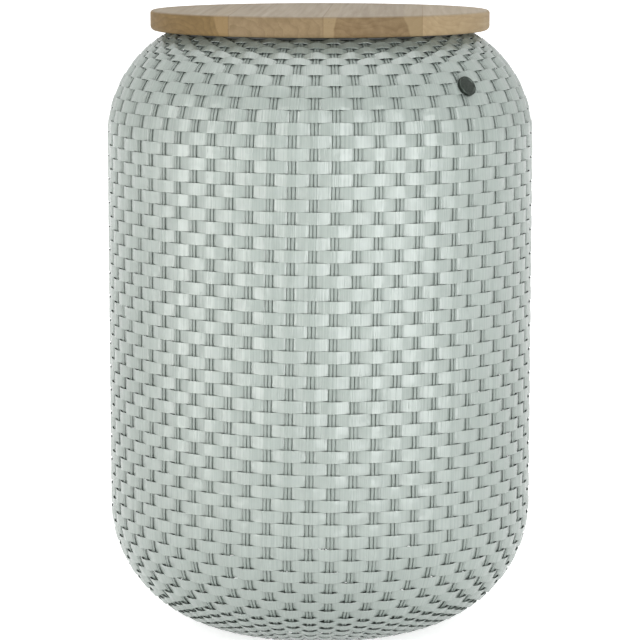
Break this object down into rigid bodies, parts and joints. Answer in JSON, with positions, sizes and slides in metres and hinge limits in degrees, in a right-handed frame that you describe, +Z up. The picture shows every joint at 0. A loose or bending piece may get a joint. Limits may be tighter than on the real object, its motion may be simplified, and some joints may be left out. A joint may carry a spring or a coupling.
{
  "type": "cooler side table",
  "caption": "Round woven barrel side table with a solid wood lid over a lift-out insulated cooler tub with drop handles.",
  "frame": {"origin": "on the floor under the middle of the table", "axes": "+Z up, front towards -Y, +X to the right as seen from the front; the stud is at the right front"},
  "size_m": [0.3626, 0.3628, 0.53],
  "materials": {
    "woven_strap": "satin, finely ribbed",
    "frame_metal": "powder coated",
    "glide_nylon": "matt",
    "stud_metal": "dark gunmetal, satin",
    "tub_plastic": "matt",
    "foam": "closed cell",
    "liner_plastic": "smooth, easy to wipe",
    "rim_plastic": "satin",
    "stainless": "brushed",
    "teak": "weathered, sanded",
    "seal_rubber": "soft"
  },
  "bodies": {
    "basket": {"side_weave": "woven_strap", "shoulder_weave": "woven_strap", "base_weave": "woven_strap", "floor_plate": "frame_metal", "glide_1": "glide_nylon", "glide_2": "glide_nylon", "glide_3": "glide_nylon", "glide_4": "glide_nylon", "rib_1": "frame_metal", "rib_2": "frame_metal", "rib_3": "frame_metal", "rib_4": "frame_metal", "rib_5": "frame_metal", "rib_6": "frame_metal", "lower_hoop": "frame_metal", "upper_hoop": "frame_metal", "mouth_ring": "frame_metal", "rim_wrap": "woven_strap", "stud_cap": "stud_metal", "stud_post": "stud_metal", "stud_washer": "stud_metal"},
    "tub": {"tub_shell": "tub_plastic", "tub_foam": "foam", "tub_liner": "liner_plastic", "tub_rim": "rim_plastic", "right_bracket": "stainless", "left_bracket": "stainless"},
    "right_handle": {"right_handle": "stainless"},
    "left_handle": {"left_handle": "stainless"},
    "lid": {"stave_1": "teak", "stave_2": "teak", "stave_3": "teak", "stave_4": "teak", "lid_plug": "liner_plastic", "lid_screws": "stainless", "lid_seal": "seal_rubber"}
  },
  "joints": [
    {"name": "tub_lift", "type": "slide", "parent": "basket", "child": "tub", "axis": [0, 0, 1], "range_m": [0, 0.43]},
    {"name": "lid_lift", "type": "slide", "parent": "tub", "child": "lid", "axis": [0, 0, 1], "range_m": [0, 0.25]},
    {"name": "right_handle_swing", "type": "hinge", "parent": "tub", "child": "right_handle", "pos_m": [0.0895, 0, 0.45], "axis": [0, 1, 0], "range_deg": [0, 170]},
    {"name": "left_handle_swing", "type": "hinge", "parent": "tub", "child": "left_handle", "pos_m": [-0.0895, 0, 0.45], "axis": [0, -1, 0], "range_deg": [0, 170]}
  ]
}
